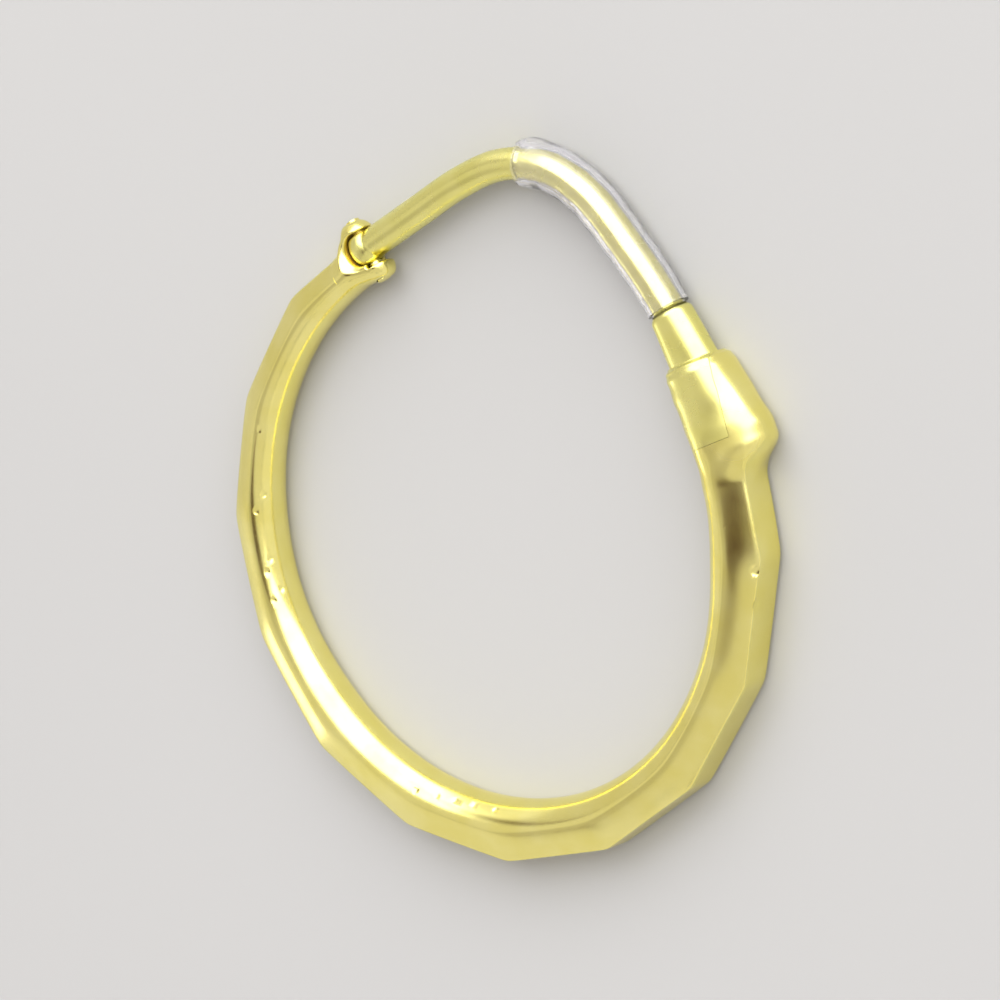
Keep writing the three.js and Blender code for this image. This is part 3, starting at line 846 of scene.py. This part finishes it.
def gold(name, tones, roughness, dirt_and_shade=None):
    """Satin-polished pale gold with hairlines, tiny pits and a clouded tone, and a brown tint round a place
    for dirt and painted shade.
    """
    material, tree, shader, place = new_material(name)
    clouds = noise(tree, place, **GOLD_CLOUDS)
    colour = mixed(tree, mapped(tree, clouds, *TONE_SPAN, 0, 1), *tones)
    rough = mapped(tree, noise(tree, place, **GOLD_POLISH), *GLOSS_SPAN, *roughness)
    rough = total(tree, rough, near_place(tree, place, **SOLDER), SOLDER_DULLNESS)
    # Dirt and painted shade: round the place the colour turns to the brown tint.
    if dirt_and_shade:
        soiled_and_shaded = near_place(tree, place, **dirt_and_shade)
        colour = mixed(tree, soiled_and_shaded, colour, TARNISH_AND_SHADE)
        rough = total(tree, rough, soiled_and_shaded, POCKET_DULLNESS)
    voronoi = node(tree, "TexVoronoi", {"Vector": place, "Scale": PITS["scale"], "Randomness": 1})
    pits = mapped(tree, voronoi.outputs["Distance"], PITS["floor"], PITS["rim"], 0, 1)
    lines = [hairlines(tree, place, tilt) for tilt in HAIRLINE_TILTS]
    height = total(tree, pits, total(tree, *lines, 1), HAIRLINE_WEIGHT)
    height = total(tree, height, noise(tree, place, **GOLD_WAVES), WAVES_WEIGHT)
    bump = node(tree, "Bump", {"Height": height, **GOLD_RELIEF})
    fill(tree, shader, {
        "Base Color": colour,
        "Metallic": 1,
        "Roughness": rough,
        "Normal": bump.outputs["Normal"],
    })
    return material


def clear_plastic(name):
    """Soft vinyl tube, a little milky and violet, with faint drawing marks and scuffs."""
    material, tree, shader, place = new_material(name)
    clouds = noise(tree, place, **VINYL_CLOUDS)
    bump = node(tree, "Bump", {"Height": clouds, **VINYL_RELIEF})
    fill(tree, shader, {
        "Base Color": mixed(tree, mapped(tree, clouds, *TONE_SPAN, 0, 1), *VINYL_TONES),
        "Roughness": mapped(tree, noise(tree, place, **VINYL_SCUFFS), *GLOSS_SPAN, *VINYL_ROUGHNESS),
        "Normal": bump.outputs["Normal"],
        **VINYL,
    })
    return material


# ------------------------------------------------------------------ assembly

SHARP_FROM = 40  # degrees between faces, where the smooth shading breaks

form = make_form()
for piece, body, replaced, slot, material in (
    (make_hoop(form), "hoop", "hoop", "hoop_gold",
     gold("polished_gold", HOOP_GOLD, HOOP_ROUGHNESS, POCKET)),
    (make_pin(), "hoop", "hinge_pin", "pin_gold",
     gold("pin_gold", HOOP_GOLD, PIN_ROUGHNESS)),
    (make_wire(form), "ear_wire", "ear_wire", "wire_gold",
     gold("wire_gold", WIRE_GOLD, WIRE_ROUGHNESS)),
    (make_sleeve(), "ear_wire", "clear_sleeve", "clear_plastic",
     clear_plastic("clear_vinyl")),
):
    piece.data.materials.clear()
    piece.data.materials.append(material)
    finish_mesh(piece, SHARP_FROM)
    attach(piece, body)
    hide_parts(replaced)
bpy.data.objects.remove(form)

# ------------------------------------------------------------------ the studio

# Lengths in metres. The view's azimuth is counted from -Y towards +X.
VIEW = {"azimuth": 121.4, "elevation": 50.1, "distance": 0.16, "height_seen": 0.0296}
VIEW_CLIP = (0.001, 10)
CAMERA_UP = Vector((-0.30, 0.94, -0.18))


def placed(place, right, up, back):
    """The matrix of an object at a place, by its own three directions."""
    return Matrix.Translation(place) @ Matrix((right, up, back)).transposed().to_4x4()


def add_camera():
    """The camera, at the photo's angle to the hoop."""
    azimuth, elevation = math.radians(VIEW["azimuth"]), math.radians(VIEW["elevation"])
    level = math.cos(elevation)
    back = Vector((math.sin(azimuth) * level, -math.cos(azimuth) * level, math.sin(elevation)))
    right = CAMERA_UP.cross(back).normalized()
    low, high = cad_box
    middle = (Vector(low) + Vector(high)) / 2
    camera = bpy.data.objects.new("camera", bpy.data.cameras.new("camera"))
    camera.matrix_world = placed(middle + back * VIEW["distance"], right, back.cross(right), back)
    camera.data.lens = camera.data.sensor_width * VIEW["distance"] / VIEW["height_seen"]
    camera.data.clip_start, camera.data.clip_end = VIEW_CLIP
    bpy.context.scene.collection.objects.link(camera)
    bpy.context.scene.camera = camera


FLOOR_HALF = 1.5
FLOOR_TONES = (0.44, 0.44, 0.435, 1), (0.46, 0.46, 0.455, 1)
FLOOR_CLOUDS = {"scale": 0.02, "detail": 2}
FLOOR_ROUGHNESS = 0.8


def add_floor():
    """A plain pale floor."""
    corners = [(x * FLOOR_HALF, y * FLOOR_HALF, 0) for x, y in ((-1, -1), (1, -1), (1, 1), (-1, 1))]
    mesh = bpy.data.meshes.new("floor")
    mesh.from_pydata(corners, [], [(0, 1, 2, 3)])
    floor = bpy.data.objects.new("floor", mesh)
    material, tree, shader, place = new_material("pale_floor")
    tone = mapped(tree, noise(tree, place, **FLOOR_CLOUDS), *GLOSS_SPAN, 0, 1)
    fill(tree, shader, {"Base Color": mixed(tree, tone, *FLOOR_TONES), "Roughness": FLOOR_ROUGHNESS})
    floor.data.materials.append(material)
    bpy.context.scene.collection.objects.link(floor)


def direction(azimuth, elevation):
    """A direction by its angle from +X towards +Y and its height, in degrees."""
    cos, sin = cos_sin(azimuth)
    level, up = cos_sin(elevation)
    return Vector((cos * level, sin * level, up))


def add_panel(name, place, facing, along, size, radiance):
    """A rectangular soft light, whose first side runs along a direction."""
    light = bpy.data.objects.new(name, bpy.data.lights.new(name, "AREA"))
    light.data.shape = "RECTANGLE"
    light.data.size, light.data.size_y = size
    light.data.energy = radiance * math.pi * size[0] * size[1]
    back = -facing.normalized()
    light.matrix_world = placed(place, along, back.cross(along), back)
    bpy.context.scene.collection.objects.link(light)


# A light tent of eight walls and a roof. The roof has an opening, which the polished flats beside the catch
# pick up as a dark bar, and strips that lie along the opening on both sides.
TENT = {"radius": 0.62, "height": 0.5}
WALLS = {0: 0.85, 45: 0.85, 90: 1.0, 135: 0.95, 180: 0.63, 225: 0.77, 270: 0.76, 315: 0.8}  # by azimuth
ROOF = {"left": 0.72, "right": 0.71, "lower": 0.52, "upper": 0.71, "beside_opening": 0.5}  # radiances
ROOF_STRIPS = (0.2, 0.34, 0.46, 0.56)  # how far each strip reaches from the opening's middle
OPENING = {"middle": (0.072, -0.012), "heading": 60, "half_width": 0.068, "lower": -0.16, "upper": 0.06}
# Two soft boxes in the tent: the key light, and a small one for the collar's highlight.
KEY = {"azimuth": 86, "elevation": 42, "distance": 0.5, "size": (0.9, 0.68), "radiance": 2.9}
WINDOW = {"azimuth": 217.5, "elevation": 8, "distance": 0.55, "size": (0.09, 0.15), "radiance": 1.9}
WORLD = (0.05, 0.012, 0, 1)  # a dark brown room outside the tent


def add_walls():
    """The tent's walls, which stand round the hoop."""
    radius, height = TENT["radius"], TENT["height"]
    size = (2 * radius * math.tan(math.pi / len(WALLS)), height)
    for azimuth, radiance in WALLS.items():
        way = direction(azimuth, 0)
        place = way * radius + Vector((0, 0, height / 2))
        add_panel(f"wall_{azimuth}", place, -way, direction(azimuth + 90, 0), size, radiance)


def add_roof():
    """The tent's roof. Its strips end on the walls' circle, so that no direction meets a wall as well."""
    radius, height = TENT["radius"], TENT["height"]
    along, aside = direction(OPENING["heading"], 0), direction(OPENING["heading"] + 90, 0)
    middle, half = Vector((*OPENING["middle"], height)), OPENING["half_width"]
    down = Vector((0, 0, -1))
    for name, side in (("left", 1), ("right", -1)):
        for near, far in zip((half, *ROOF_STRIPS), ROOF_STRIPS):
            shift = side * (near + far) / 2 + middle @ aside
            chord = 2 * math.sqrt(radius ** 2 - shift ** 2)
            place = Vector((0, 0, height)) + aside * shift
            radiance = ROOF["beside_opening" if side > 0 and near == half else name]
            add_panel(f"roof_{name}_{near}", place, down, along, (chord, far - near), radiance)
    for name, start, end in (("lower", -radius, OPENING["lower"]), ("upper", OPENING["upper"], radius)):
        place = middle + along * (start + end) / 2
        add_panel(f"roof_{name}", place, down, along, (end - start, 2 * half), ROOF[name])


def add_lamp(name, lamp):
    """A soft box that faces the hoop, and stands level."""
    way = direction(lamp["azimuth"], lamp["elevation"])
    level = direction(lamp["azimuth"] + 90, 0)
    add_panel(name, way * lamp["distance"], -way, level, lamp["size"], lamp["radiance"])


def add_world():
    """The surroundings outside the tent."""
    world = bpy.data.worlds.new("studio")
    world.use_nodes = True
    world.node_tree.nodes["Background"].inputs["Color"].default_value = WORLD
    bpy.context.scene.world = world


add_camera()
add_floor()
add_walls()
add_roof()
add_lamp("key", KEY)
add_lamp("window", WINDOW)
add_world()
bpy.context.scene.view_settings.view_transform = "Standard"
